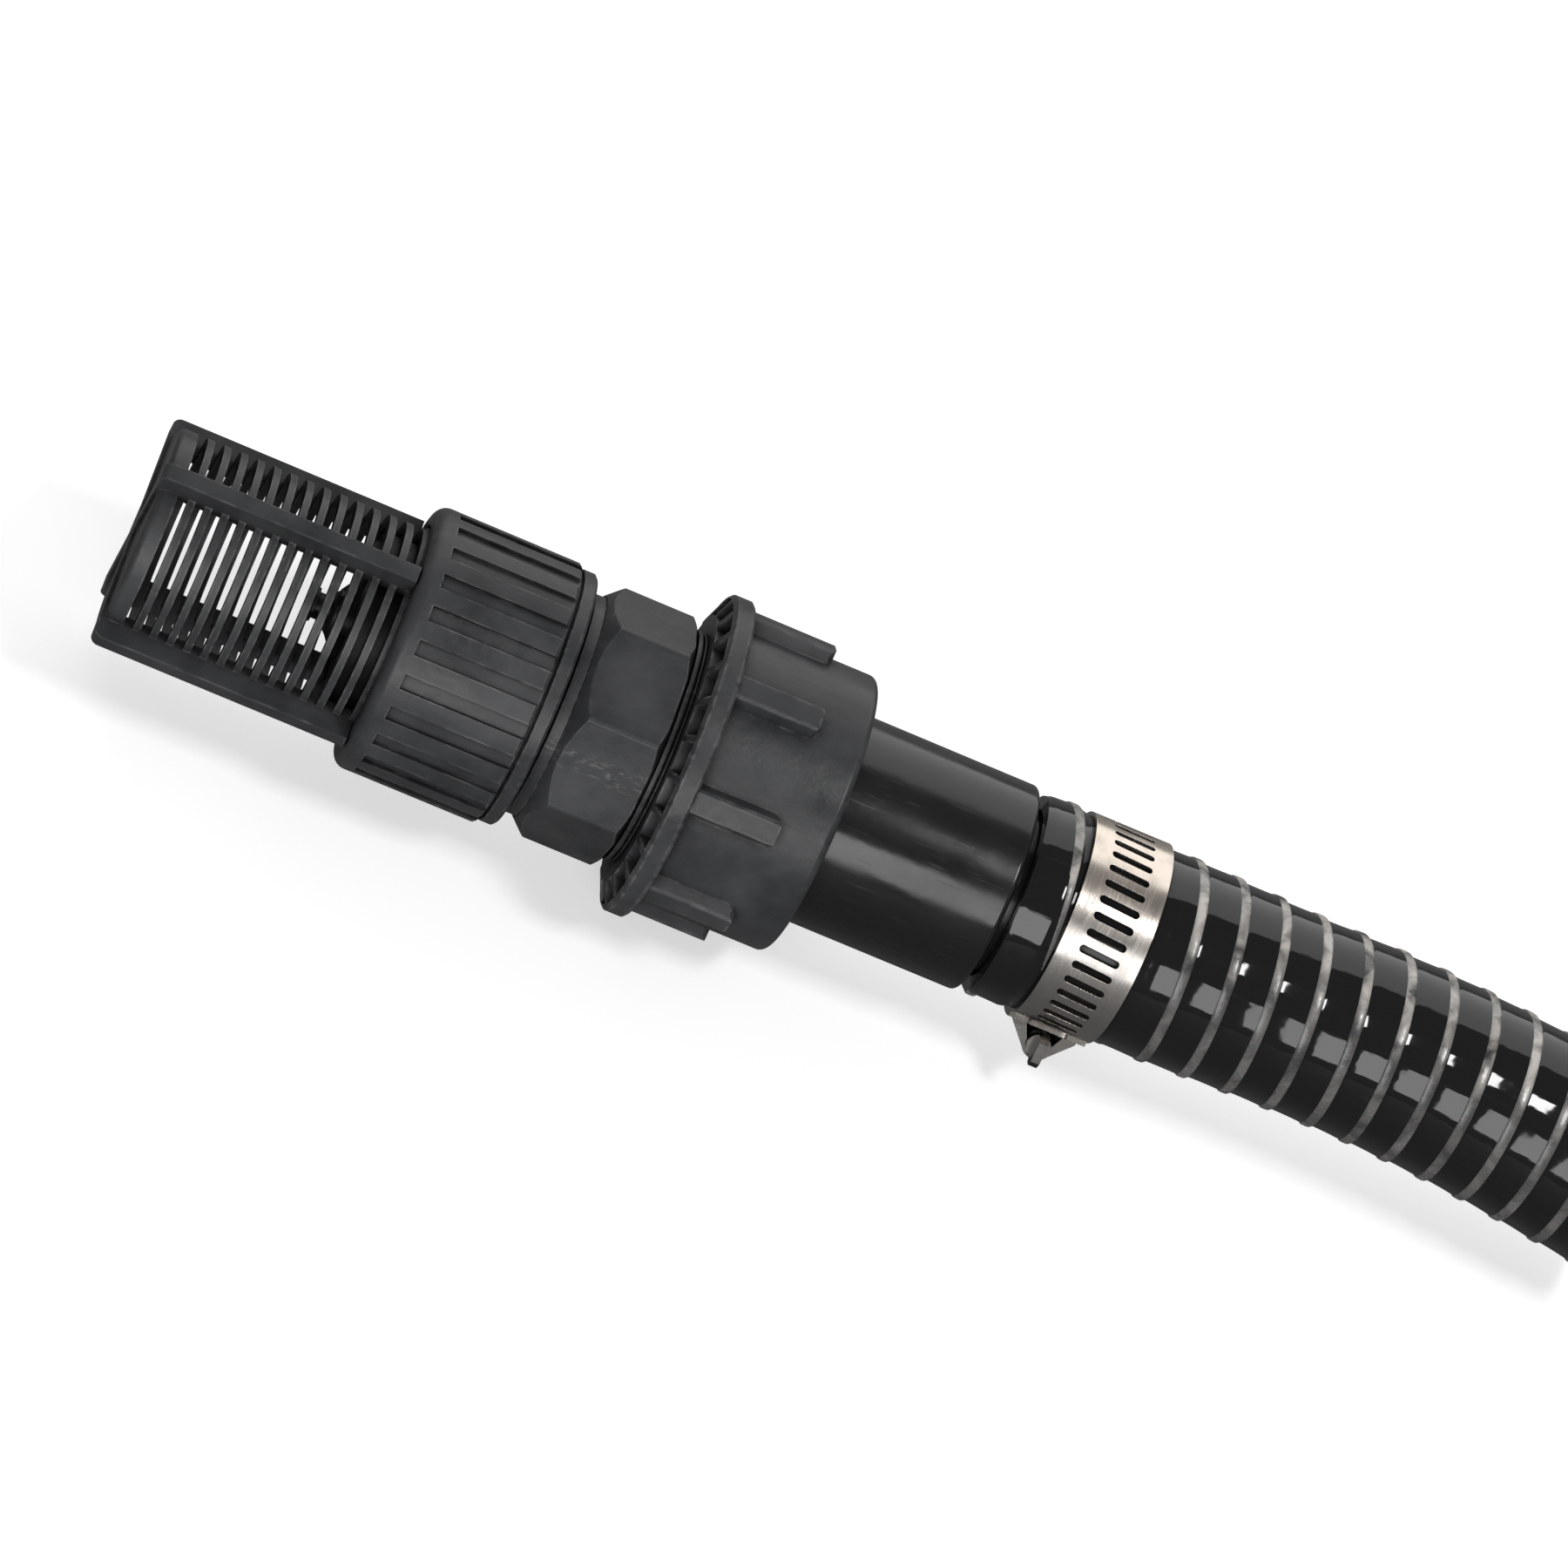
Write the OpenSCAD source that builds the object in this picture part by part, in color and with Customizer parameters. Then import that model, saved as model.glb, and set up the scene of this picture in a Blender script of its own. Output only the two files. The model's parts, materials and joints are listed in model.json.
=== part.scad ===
// Foot valve for a 25 mm suction hose, with its hose tail, worm-drive hose clamp and a cut length of
// spiral hose. Millimetres. Flow runs along +X, from the strainer's closed end at the origin to the hose.
// Each piece is drawn upright, with its axis on Z, and lay() then lays it along X.

/* [Strainer basket] */
// Length of the slotted basket, from its closed end to the valve housing
basket_len = 40; // [37:0.5:44]
// Radius over the four long rails
rail_r = 19.7; // [19:0.1:20.4]
// Width of a rail, and of the cross on the closed end
rail_w = 2.7; // [2:0.1:3.5]
// Outside radius of the ring bars
bar_r = 16.5; // [16:0.1:16.6]
// Number of ring bars between the rails
bar_count = 13; // [10:1:14]
// Width of one ring bar along the axis
bar_w = 1.15; // [0.8:0.05:1.3]

/* [Valve housing] */
// Radius over the grip ridges
housing_r = 20.8; // [20.6:0.1:22]
// Length of the housing
housing_len = 25.8; // [25.8:0.1:28]
// Number of grip flutes
flute_count = 24; // [12:2:30]
// Width of one flute
flute_w = 2.4; // [1.5:0.1:2.8]
// Depth of one flute
flute_depth = 0.6; // [0.3:0.1:0.9]

/* [Valve] */
// Radius of the seat's opening
seat_r = 10.5; // [9:0.1:10.8]
// Travel of the poppet from closed to open
valve_lift = 2.4; // [1.8:0.1:2.8]
// Radius of the poppet's stem
stem_r = 2.05; // [1.8:0.05:2.2]

/* [Valve body] */
// Size of the octagon across its flats
octagon_flats = 37.2; // [36.6:0.1:38.4]
// Length of the octagon
octagon_len = 14.1; // [10:0.1:20]

/* [Union] */
// Outside radius of the pipe thread (a one inch parallel pipe thread)
thread_r = 16.6; // [16.4:0.05:16.6]
// Length of the union nut
nut_len = 26.2; // [25:0.1:30]
// Radius of the nut's barrel
nut_r = 22.15; // [21:0.05:23]
// Radius of the nut's flange
flange_r = 25.4; // [25:0.1:27]
// Radius over the grip lugs
lug_r = 24.3; // [23.5:0.1:24.6]
// Number of grip lugs
lug_count = 8; // [4:1:12]
// Number of pockets in the flange's face
pocket_count = 24; // [12:1:30]

/* [Hose tail] */
// Outside radius of the smooth tail tube
tail_r = 16.5; // [15.5:0.1:16.5]
// Length of tail tube that shows between the nut and the hose
tail_len = 28.9; // [10:0.1:60]

/* [Hose] */
// Outside radius of the free hose
hose_r = 15; // [14.8:0.1:15.2]
// Bore radius of the hose
hose_bore_r = 12.5; // [12.3:0.1:12.6]
// Length of the straight hose, from the tail tube to the bend
hose_straight = 54; // [45:0.5:200]
// Radius of the hose's gentle bend
bend_r = 300; // [150:10:1000]
// Angle of the bend
bend_angle = 7; // [1:0.5:30]
// Length of straight hose between the bend and the cut end
hose_end_len = 20; // [10:0.5:100]
// Distance between turns of the reinforcing spiral
spiral_pitch = 6.9; // [5:0.1:12]

/* [Hose clamp] */
// Width of the clamp's band
band_w = 12.7; // [12:0.1:14]
// Thickness of the clamp's band
band_t = 0.65; // [0.5:0.05:0.7]
// Number of slots around the band
slot_count = 38; // [30:1:40]

/* [Hidden] */
$fn = 96;

moulded = [0.19, 0.20, 0.20];
moulded_inner = [0.30, 0.31, 0.32];
gloss_black = [0.07, 0.07, 0.08];
rubber_black = [0.10, 0.10, 0.10];
spiral_white = [0.78, 0.80, 0.80];
stainless = [0.76, 0.76, 0.75];

eps = 0.1;            // how far joined solids sink into each other
slip = 0.05;          // radial clearance of a running fit

// Angles about the axis: a feature at 0 points straight down, and at 90 towards +Y
rail_angle = 15;
lug_angle = 12.5;
clamp_angle = 332;
bend_direction = 315;
spiral_start = 310;

// Stations along the axis
end_plate_t = 3.55;
rim_z = basket_len + 0.2;
socket_end = rim_z + 4;
shoulder_end = socket_end + 2;
seat_gasket_t = 0.8;
flange_z = shoulder_end + seat_gasket_t;
flange_top = flange_z + 1.8;
lip_top = flange_top + 0.6;
seal_t = 1.6;
disc_z = lip_top + seal_t;
disc_top = disc_z + 1.6;
guide_z = rim_z + 16.8;
guide_t = 1.4;
spring_top = guide_z + 4.4;
nose_z = guide_z + 3.4;
housing_end = rim_z + housing_len;
octagon_z = housing_end + 2.4;
octagon_end = octagon_z + octagon_len;
nut_z = octagon_end + 2;
thread_end = nut_z + 14.3;
tail_z = thread_end + 2.2;
nut_shoulder_z = tail_z + 2.2;
nut_end = nut_z + nut_len;
tail_end = nut_end + tail_len;
hose_z = tail_end + 1.6;
bend_z = hose_z + hose_straight;
bend_len = bend_r * bend_angle * PI / 180;
hose_end = bend_z + bend_len + hose_end_len;
band_z = hose_z + 7.6;
band_end = band_z + band_w;
barb_end = tail_end + 28.7;

// Strainer basket
bar_inner_r = 14.5;
first_bar = 5.65;
last_bar = basket_len - 2.65;
frame_ring = 0.6;
spigot_r = 16.84;
rail_corner = 1.3;

// Valve housing and what it holds
socket_r = spigot_r + slip;
shoulder_r = 14.6;
chamber_r = 16.5;
seat_nose_z = basket_len - 5.7;
seat_nose_r = 13.9;
seat_flange_r = chamber_r - slip;
hub_r = 3.6;
hub_z = seat_nose_z - 2.8;
hub_len = 7.4;
arm_w = 1.8;
seat_lip = 1.1;
disc_r = 12.6;
boss_r = stem_r + 0.55;
clip_t = 0.9;
barb_top = hub_z - valve_lift;
fork_slot = 1.7;
stem_top = guide_z + 7.5;

// Return spring
wire_r = 0.4;
spring_r = 4.6;
spring_turns = 5;

// Upper guide and body seal
guide_ring_r = 13.4;
guide_skirt_r = 14.4;
o_ring_wire = (nose_z - guide_z - guide_t) / 2 - 0.02;
o_ring_r = 16.1;

// Threads: rings of one pitch each, with no helix, so that the parts slide freely as they unscrew
body_thread_count = 3;
pipe_thread_count = 5;
housing_thread_r = 17.5;
housing_thread_depth = 0.7;
housing_pitch = 2;
pipe_pitch = 2.309;
pipe_thread_depth = 1.4;
water_r = 12.5;

// Union nut
pocket_depth = 2.6;
pocket_inner_r = 21.4;
pocket_rim = 0.8;
pocket_rib = 1.3;
flange_t = 4.7;
flange_cone = 1.4;
lug_w = 4.3;
lug_len = 13.4;

// Hose and clamp
barb_r = 13.45;
barb_root_r = 12.7;
clamped_r = 15.55;
swollen_r = 16.2;
saddle_t = 0.4;
saddle_arc = 36;
band_r = clamped_r + slip;
slot_len = 6.6;
slot_w = 1.15;
slot_tilt = 4;
lap_arc = 2.5 * 360 / slot_count;
worm_r = 1.9;
worm_axis_r = band_r + 2 * band_t + worm_r + 0.1;
clamp_housing_len = 8;
key_t = 1.4;
key_r = 2.6;
key_len = 3.2;

// Lays an upright piece along X
module lay() {
    rotate([0, 90, 0]) children();
}

// Points on an arc about [cx, cy]
function arc(cx, cy, r, from, to, steps = 8) =
    [for (i = [0:steps]) let (a = from + (to - from) * i / steps) [cx + r * cos(a), cy + r * sin(a)]];

// A ring about the axis
module ring(inner, outer, low, high) {
    rotate_extrude() translate([inner, low]) square([outer - inner, high - low]);
}

// A cylinder about the axis
module rod(r, low, high) {
    translate([0, 0, low]) cylinder(r = r, h = high - low);
}

// Copies around the axis
module around(count, first = 0) {
    for (k = [0:count - 1]) rotate([0, 0, first + 360 * k / count]) children();
}

// Outline points of thread rings, from low to high
function thread_outline(root, crest, low, pitch, count) =
    [for (k = [0:count - 1]) let (z = low + k * pitch)
        each [[root, z], [root, z + 0.2 * pitch], [crest, z + 0.5 * pitch], [crest, z + 0.65 * pitch],
              [root, z + 0.95 * pitch]]];

// A closed section, of [outward, upward] points, swept along a path of [radius, angle, height] points.
// The path follows the hose's bend, which lies beyond every coil but the hose's own.
module coil(path, section) {
    n = len(section);
    last = (len(path) - 1) * n;
    points = [for (p = path) for (s = section)
        bent([(p[0] + s[0]) * cos(p[1]), (p[0] + s[0]) * sin(p[1]), p[2] + s[1]])];
    sides = [for (j = [0:len(path) - 2]) for (i = [0:n - 1])
        let (a = j * n + i, b = j * n + (i + 1) % n) each [[a, b, a + n], [b, b + n, a + n]]];
    ends = [[for (i = [n - 1:-1:0]) i], [for (i = [0:n - 1]) last + i]];
    polyhedron(points = points, faces = concat(sides, ends), convexity = 10);
}

// ---- Strainer end ----

// Two opposite rails and the bar that joins them across the closed end
module rail_pair() {
    inner = bar_inner_r + 0.4;
    top = basket_len + eps;
    outline = concat(
        arc(rail_r - rail_corner, rail_corner, rail_corner, -90, 0),
        [[rail_r, top], [inner, top], [inner, end_plate_t - eps],
         [-inner, end_plate_t - eps], [-inner, top], [-rail_r, top]],
        arc(-rail_r + rail_corner, rail_corner, rail_corner, 180, 270));
    rotate([90, 0, 0]) linear_extrude(rail_w, center = true) polygon(outline);
}

module strainer_basket() {
    edge = 1.2;
    plate_z = 0.6;
    color(moulded) lay() {
        rotate([0, 0, rail_angle]) rail_pair();
        rotate([0, 0, rail_angle + 90]) rail_pair();
        rotate_extrude() polygon(concat(
            [[0, plate_z]], arc(bar_r - edge, plate_z + edge, edge, -90, 0),
            [[bar_r, end_plate_t], [0, end_plate_t]]));
        for (k = [0:bar_count - 1]) {
            z = first_bar + (last_bar - first_bar) * k / (bar_count - 1);
            ring(bar_inner_r, bar_r, z - bar_w / 2, z + bar_w / 2);
        }
        rotate_extrude() polygon([
            [bar_inner_r, basket_len - frame_ring], [bar_r, basket_len - frame_ring], [bar_r, basket_len],
            [spigot_r, basket_len], [spigot_r, socket_end - 0.2], [bar_inner_r, socket_end - 0.2]]);
    }
}

module housing_shell() {
    rim = 2.1;
    step_z = housing_end - 2.8;
    step_end = housing_end - 2.3;
    ring_r = housing_r - 0.65;
    mouth = 0.7;
    rotate_extrude() polygon(concat(
        [[socket_r + 0.5, rim_z]],
        arc(housing_r - rim, rim_z + rim, rim, -90, 0),
        [[housing_r, step_z - 0.4], [housing_r - 0.3, step_z], [housing_r - 1.3, step_z],
         [housing_r - 1.3, step_end], [ring_r - 0.2, step_end], [ring_r, step_end + 0.2],
         [ring_r, housing_end - 0.4], [ring_r - 0.4, housing_end],
         [housing_thread_r + mouth, housing_end],
         [housing_thread_r + 2 * slip, housing_end - mouth], [housing_thread_r + 2 * slip, guide_z],
         [chamber_r, guide_z], [chamber_r, shoulder_end], [shoulder_r, shoulder_end],
         [shoulder_r, socket_end], [socket_r, socket_end], [socket_r, rim_z + 0.5]]));
}

module valve_housing() {
    flute_z = rim_z + 3.3;
    flute_end = housing_end - 2.8;
    color(moulded) lay() difference() {
        housing_shell();
        around(flute_count)
            translate([housing_r - flute_depth, -flute_w / 2, flute_z])
                cube([flute_depth + 1, flute_w, flute_end - flute_z]);
    }
}

module seat_gasket() {
    color(rubber_black) lay() ring(shoulder_r + 0.1, seat_flange_r - 0.1, shoulder_end, flange_z);
}

// One arm of the seat's lower guide, sloping out from the hub
module seat_arm() {
    rotate([90, 0, 0]) linear_extrude(arm_w, center = true)
        polygon([[0, hub_z + 0.4], [hub_r, hub_z + 0.4], [seat_r - 3, seat_nose_z], [seat_r + eps, seat_nose_z],
                 [seat_r + eps, seat_nose_z + 3], [0, seat_nose_z + 3]]);
}

module valve_seat() {
    color(moulded_inner) lay() difference() {
        union() {
            rotate_extrude() polygon([
                [seat_r, seat_nose_z], [seat_nose_r - 0.6, seat_nose_z], [seat_nose_r, seat_nose_z + 0.6],
                [seat_nose_r, socket_end], [shoulder_r - 0.1, socket_end + 0.6],
                [shoulder_r - 0.1, flange_z], [seat_flange_r, flange_z], [seat_flange_r, flange_top],
                [seat_r + 1.7, flange_top], [seat_r + seat_lip - 0.3, lip_top],
                [seat_r + 0.3, lip_top], [seat_r, lip_top - 0.3]]);
            rotate_extrude() polygon([
                [0, hub_z], [hub_r - 0.5, hub_z], [hub_r, hub_z + 0.5], [hub_r, hub_z + hub_len],
                [0, hub_z + hub_len]]);
            around(4, rail_angle) seat_arm();
        }
        rod(stem_r + slip, hub_z - 1, hub_z + hub_len + 1);
    }
}

module poppet() {
    tip_r = stem_r + 0.6;
    tip_z = barb_top - 1.5;
    color(moulded_inner) lay() difference() {
        rotate_extrude() polygon([
            [0, tip_z], [tip_r - 0.8, tip_z], [tip_r, barb_top - 0.4], [tip_r, barb_top],
            [stem_r, barb_top], [stem_r, lip_top - clip_t - 0.6], [boss_r, lip_top - clip_t],
            [boss_r, disc_z], [disc_r, disc_z], [disc_r, disc_top - 0.4], [disc_r - 0.4, disc_top],
            [spring_r - wire_r - 0.2, disc_top], [spring_r - wire_r - 0.6, disc_top + 0.6],
            [stem_r, disc_top + 0.6], [stem_r, stem_top - 0.5], [stem_r - 0.5, stem_top], [0, stem_top]]);
        translate([-fork_slot / 2, -5, tip_z - 1]) cube([fork_slot, 10, barb_top - tip_z + 3.2]);
    }
}

module poppet_seal() {
    color(rubber_black) lay() ring(boss_r, disc_r - 0.2, lip_top, disc_z);
}

// A spring washer with a slotted inner edge, pushed along the stem's boss
module seal_clip() {
    clip_r = 5.6;
    notch = 1.1;
    color(stainless) lay() difference() {
        ring(boss_r, clip_r, lip_top - clip_t, lip_top);
        around(6, 30)
            translate([boss_r - 0.5, -notch / 2, lip_top - clip_t - 1]) cube([1.9, notch, clip_t + 2]);
    }
}

module return_spring() {
    steps = 20;
    gap = 0.02;
    flat_turns = 0.75;
    low = disc_top + wire_r + gap;
    flat_rise = flat_turns * (2 * wire_r + 0.05);
    open_rise = spring_top - wire_r - gap - low - 2 * flat_rise;
    open_turns = spring_turns - 2 * flat_turns;
    // Height of the wire at a number of turns: close-wound at both ends, and open between them
    function wire_z(turn) = low
        + flat_rise * (min(turn, flat_turns) + max(turn - spring_turns + flat_turns, 0)) / flat_turns
        + open_rise * min(max((turn - flat_turns) / open_turns, 0), 1);
    path = [for (i = [0:spring_turns * steps]) [spring_r, 360 * i / steps, wire_z(i / steps)]];
    section = [for (i = [0:7]) [wire_r * cos(45 * i), wire_r * sin(45 * i)]];
    color(stainless) lay() coil(path, section);
}

module upper_guide() {
    leg_w = 3.2;
    arm_z = spring_top;
    arm_top = arm_z + 1.6;
    color(moulded_inner) lay() difference() {
        union() {
            ring(guide_ring_r, housing_thread_r, guide_z, guide_z + guide_t);
            ring(guide_ring_r, guide_skirt_r, guide_z, arm_top);
            rod(hub_r, arm_z, arm_z + 3.4);
            around(3) translate([0, -arm_w / 2, arm_z]) cube([guide_ring_r + eps, arm_w, arm_top - arm_z]);
            intersection() {
                ring(guide_skirt_r, seat_flange_r, flange_top, guide_z + eps);
                around(4, 45) translate([0, -leg_w / 2, flange_top]) cube([20, leg_w, 12]);
            }
        }
        rod(stem_r + slip, arm_z - 1, arm_top + 4);
    }
}

module body_o_ring() {
    color(rubber_black) lay() rotate_extrude()
        translate([o_ring_r, (guide_z + guide_t + nose_z) / 2]) circle(r = o_ring_wire, $fn = 32);
}

// ---- Valve body and union ----

module valve_body() {
    corner_r = octagon_flats / 2 / cos(22.5);
    neck_r = housing_thread_r;
    ring_r = thread_r + 1.85;
    bore_step = spring_top + 5.6;
    color(moulded) lay() difference() {
        union() {
            // Spigot that screws into the housing, and the neck
            rotate_extrude() polygon(concat(
                [[0, nose_z]],
                thread_outline(neck_r - housing_thread_depth, neck_r, nose_z, housing_pitch, body_thread_count),
                [[neck_r, housing_end + 0.6], [neck_r, octagon_z + eps], [0, octagon_z + eps]]));
            // Octagon, with a long chamfer at the strainer end
            intersection() {
                translate([0, 0, octagon_z]) cylinder(r = corner_r, h = octagon_len, $fn = 8);
                rotate_extrude() polygon([
                    [0, octagon_z], [neck_r + 0.3, octagon_z], [corner_r - 0.15, octagon_z + 2.4],
                    [corner_r - 0.15, octagon_end - 0.7], [corner_r - 1.2, octagon_end],
                    [0, octagon_end]]);
            }
            // Shoulder rings and the pipe thread
            rotate_extrude() polygon(concat(
                [[0, octagon_end - eps], [ring_r - 0.8, octagon_end - eps], [ring_r - 0.8, octagon_end + 0.4],
                 [ring_r, octagon_end + 0.5], [ring_r, octagon_end + 1.2],
                 [ring_r - 0.7, octagon_end + 1.3], [ring_r - 0.7, octagon_end + 1.5],
                 [ring_r - 0.15, octagon_end + 1.6], [ring_r - 0.15, nut_z - slip],
                 [thread_r - pipe_thread_depth, nut_z - slip]],
                thread_outline(thread_r - pipe_thread_depth, thread_r, nut_z + 1.2, pipe_pitch, pipe_thread_count),
                [[thread_r - pipe_thread_depth, thread_end], [0, thread_end]]));
        }
        rod(water_r, nose_z - 1, thread_end + 1);
        rod(guide_skirt_r + 0.4, nose_z - 1, bore_step);
    }
}

module union_gasket() {
    color(rubber_black) lay() ring(water_r, thread_r - 0.3, thread_end, tail_z);
}

// A grip lug: bevelled sides, and a round end towards the hose
module lug() {
    base = nut_r - 0.6;
    half = lug_w / 2;
    straight = lug_len - half;
    intersection() {
        translate([0, 0, nut_z + flange_t - eps]) linear_extrude(lug_len + eps)
            polygon([[base, -half - 0.5], [lug_r - 0.3, -half + 0.1], [lug_r, -half + 0.5],
                     [lug_r, half - 0.5], [lug_r - 0.3, half - 0.1], [base, half + 0.5]]);
        translate([base - 1, 0, nut_z + flange_t]) rotate([0, 90, 0]) linear_extrude(lug_r - base + 2) union() {
            translate([-straight, -half - 0.5]) square([straight + 1, lug_w + 1]);
            translate([-straight, 0]) circle(r = half + 0.5);
        }
    }
}

module union_nut() {
    fillet = 1.2;
    edge = 0.4;
    thread_clear = thread_r + slip;
    lip_clear = tail_r + 0.65;
    pocket_outer_r = flange_r - pocket_rim;
    pocket_arc = 360 / pocket_count - 2 * asin(pocket_rib / 2 / pocket_outer_r);
    color(moulded) lay() difference() {
        union() {
            rotate_extrude() polygon(concat(
                [[thread_clear, nut_z], [pocket_inner_r + edge, nut_z],
                 [flange_r - edge, nut_z + flange_cone], [flange_r, nut_z + flange_cone + edge],
                 [flange_r, nut_z + flange_t - edge], [flange_r - edge, nut_z + flange_t],
                 [nut_r, nut_z + flange_t]],
                arc(nut_r - fillet, nut_end - fillet, fillet, 0, 90),
                [[tail_r + slip + 0.4, nut_end], [tail_r + slip, nut_end - 0.4],
                 [tail_r + slip, nut_shoulder_z], [lip_clear, nut_shoulder_z], [lip_clear, thread_end],
                 [thread_clear, thread_end]]));
            around(lug_count, lug_angle) lug();
        }
        around(pocket_count, -pocket_arc / 2)
            rotate_extrude(angle = pocket_arc)
                translate([pocket_inner_r, nut_z - 1]) square([pocket_outer_r - pocket_inner_r, pocket_depth + 1]);
    }
}

// ---- Hose side ----

module hose_tail() {
    snap_lip = 0.5;
    barb_count = 6;
    barb_pitch = 4.1;
    bore = 10.6;
    edge = 0.8;
    color(gloss_black) lay() rotate_extrude() polygon(concat(
        [[water_r, tail_z], [tail_r - 0.2, tail_z], [tail_r + snap_lip, tail_z + 0.9],
         [tail_r + snap_lip, tail_z + 1.9], [tail_r, nut_shoulder_z]],
        arc(tail_r - edge, tail_end - edge, edge, 0, 90),
        [[barb_root_r, tail_end]],
        [for (k = [1:barb_count]) let (z = tail_end + k * barb_pitch)
            each [[barb_root_r, z - 0.5], [barb_r, z], [barb_r, z + 0.4]]],
        [[barb_root_r - 0.6, barb_end], [bore, barb_end], [bore, tail_z + 8], [water_r, tail_z + 4]]));
}

// Outside radius of the hose at each station: swollen over the barbs and pinched by the clamp
hose_profile = [
    [hose_z, swollen_r], [band_z - 1.6, swollen_r], [band_z - 0.2, clamped_r],
    [band_end + 0.2, clamped_r], [band_end + 1.6, swollen_r - 0.2], [band_end + 15, hose_r],
    [bend_z + eps, hose_r]];

// Places a piece, drawn upright, at the end of the bend
module after_bend() {
    rotate([0, 0, bend_direction]) translate([bend_r, 0, bend_z]) rotate([0, bend_angle, 0])
        translate([-bend_r, 0, 0]) children();
}

// Moves a point of an upright, straight hose to where the bend puts it
function bent(p) =
    let (c = cos(bend_direction), s = sin(bend_direction),
         toward = p[0] * c + p[1] * s,
         across = p[1] * c - p[0] * s,
         past = p[2] - bend_z,
         turn = min(max(past, 0), bend_len) / bend_r * 180 / PI,
         straight = past < 0 ? past : max(past - bend_len, 0),
         moved = bend_r - (bend_r - toward) * cos(turn) + straight * sin(turn))
    [moved * c - across * s, moved * s + across * c,
     bend_z + (bend_r - toward) * sin(turn) + straight * cos(turn)];

// The bend's wall is a hair thinner, so that its ends sink cleanly into the straight lengths
module hose_wall() {
    bend_skin = 0.1;
    mouth = 0.4;
    color(gloss_black) lay() {
        difference() {
            rotate_extrude() polygon(concat(
                [for (p = hose_profile) [p[1], p[0]]],
                [[hose_bore_r, bend_z + eps], [hose_bore_r, barb_end + 4], [barb_r + slip, barb_end + 0.5],
                 [barb_r + slip, hose_z]]));
            saddle_plate();
        }
        rotate([0, 0, bend_direction]) translate([bend_r, 0, bend_z]) rotate([90, 0, 180])
            rotate_extrude(angle = bend_angle) translate([bend_r, 0]) difference() {
                circle(r = hose_r - bend_skin);
                circle(r = hose_bore_r + bend_skin);
            }
        after_bend() rotate_extrude() polygon([
            [hose_bore_r + 2 * bend_skin, -eps], [hose_r, -eps], [hose_r, hose_end_len],
            [hose_bore_r + mouth, hose_end_len], [hose_bore_r, hose_end_len - mouth], [hose_bore_r, mouth]]);
    }
}

module hose_spiral() {
    steps = 24;
    half = 0.7;
    depth = 0.9;
    proud = 0.04;
    low = hose_z + half + 0.1;
    turns = floor((hose_end - low - half) / spiral_pitch * steps) / steps;
    path = [for (i = [0:turns * steps]) let (z = low + spiral_pitch * i / steps)
        [lookup(z, hose_profile), spiral_start + 360 * i / steps, z]];
    section = [[-depth, -half], [proud - 0.2, -half], [proud, -half * 0.6], [proud, half * 0.6],
               [proud - 0.2, half], [-depth, half]];
    color(spiral_white) lay() difference() {
        coil(path, section);
        saddle_plate();
    }
}

// ---- Hose clamp ----

module saddle_plate() {
    inset = 0.9;
    rotate([0, 0, clamp_angle - saddle_arc / 2])
        rotate_extrude(angle = saddle_arc)
            translate([clamped_r - saddle_t, band_z + inset]) square([saddle_t + slip, band_w - 2 * inset]);
}

module clamp_saddle() {
    color(stainless) lay() saddle_plate();
}

module band_slot() {
    translate([band_r + band_t, 0, band_z + band_w / 2]) rotate([-slot_tilt, 0, 0])
        cube([4, slot_w, slot_len], center = true);
}

// The free end of the band, lapped over the band inside the screw housing, with its corners cut off
module band_lap() {
    corner = 4.5;
    lap_from = clamp_angle - lap_arc;
    difference() {
        rotate([0, 0, lap_from]) rotate_extrude(angle = 2 * lap_arc)
            translate([band_r + band_t - eps, band_z]) square([band_t + eps, band_w]);
        for (side = [-1, 1]) rotate([0, 0, lap_from])
            translate([band_r, 0, band_z + band_w / 2 + side * band_w / 2])
                rotate([45, 0, 0]) cube([8, corner, corner], center = true);
    }
}

module clamp_band() {
    color(stainless) lay() difference() {
        union() {
            ring(band_r, band_r + band_t, band_z, band_end);
            band_lap();
        }
        around(slot_count, clamp_angle) band_slot();
    }
}

// Places a piece drawn about the worm's axis: X is along the valve, Y outward and Z towards the screw's key
module at_worm() {
    rotate([0, 0, clamp_angle]) translate([worm_axis_r, 0, band_z + band_w / 2])
        rotate([90, 90, 0]) children();
}

// A thin arch over the worm, open at both ends
module clamp_housing() {
    wall = 0.55;
    bore = worm_r + slip;
    foot = band_w / 2 - 1.2;
    foot_h = 0.6;
    drop = worm_axis_r - band_r - band_t;
    color(stainless) lay() difference() {
        at_worm() linear_extrude(clamp_housing_len, center = true) difference() {
            polygon(concat(
                [[-foot, -drop], [-foot, foot_h - drop]], arc(0, 0, bore + wall, 150, 30, 12),
                [[foot, foot_h - drop], [foot, -drop]]));
            circle(r = bore);
            polygon([[-foot + 1.6, -drop - 1], [-bore, -0.2], [bore, -0.2], [foot - 1.6, -drop - 1]]);
        }
        rod(band_r + 2 * band_t + slip, band_z - 1, band_end + 1);
    }
}

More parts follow.
